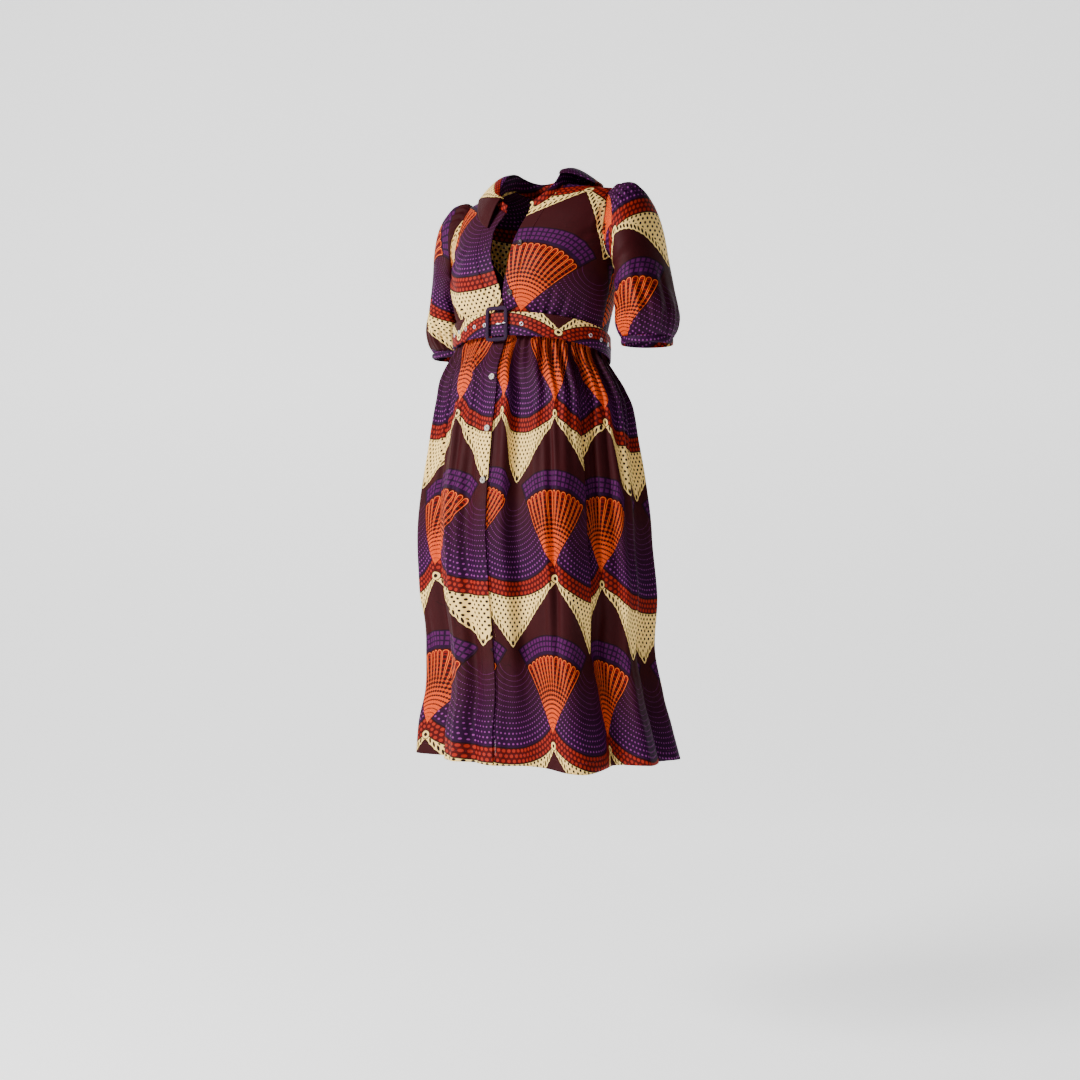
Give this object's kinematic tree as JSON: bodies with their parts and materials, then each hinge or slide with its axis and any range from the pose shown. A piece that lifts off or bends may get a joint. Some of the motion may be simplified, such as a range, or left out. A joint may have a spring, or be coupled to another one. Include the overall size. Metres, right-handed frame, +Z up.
{
  "type": "ankara wax print dress",
  "caption": "Midi-length belted shirt dress with collar, open V front, gathered elbow sleeves and gathered skirt, kept hollow as worn.",
  "frame": {"origin": "midway between the two points where the shoulder seams meet the collar, where the wearer's shoulders and neck carry the dress", "axes": "+Z up along the body, the front faces -Y, +X is the wearer's left"},
  "size_m": [0.5402, 0.3984, 1.0863],
  "materials": {
    "printed_cotton": "plain-weave cotton with a printed fan and scallop repeat, slight waxy sheen",
    "printed_belt": "print-covered stiff belt with metal eyelets",
    "covered_buckle": "dark cloth pulled tight over a hard form",
    "steel": "polished plated metal",
    "dark_button": "glossy dark plastic",
    "pearl_button": "pearly grey-white plastic"
  },
  "bodies": {
    "root": {"bodice_back": "printed_cotton", "bodice_front_left": "printed_cotton", "bodice_front_right": "printed_cotton", "bodice_button_band": "printed_cotton", "bodice_buttonhole_band": "printed_cotton", "collar_stand": "printed_cotton", "collar_leaf": "printed_cotton", "sleeve_left": "printed_cotton", "sleeve_right": "printed_cotton", "cuff_left": "printed_cotton", "cuff_right": "printed_cotton", "skirt_front_left": "printed_cotton", "skirt_front_right": "printed_cotton", "skirt_back": "printed_cotton", "skirt_button_band": "printed_cotton", "skirt_buttonhole_band": "printed_cotton", "belt_strap": "printed_belt", "buckle_frame": "covered_buckle", "buckle_prong": "steel", "cuff_button": "covered_buckle", "bodice_button_1": "dark_button", "bodice_button_2": "dark_button", "skirt_button_1": "pearl_button", "skirt_button_2": "pearl_button", "skirt_button_3": "pearl_button"}
  },
  "joints": []
}
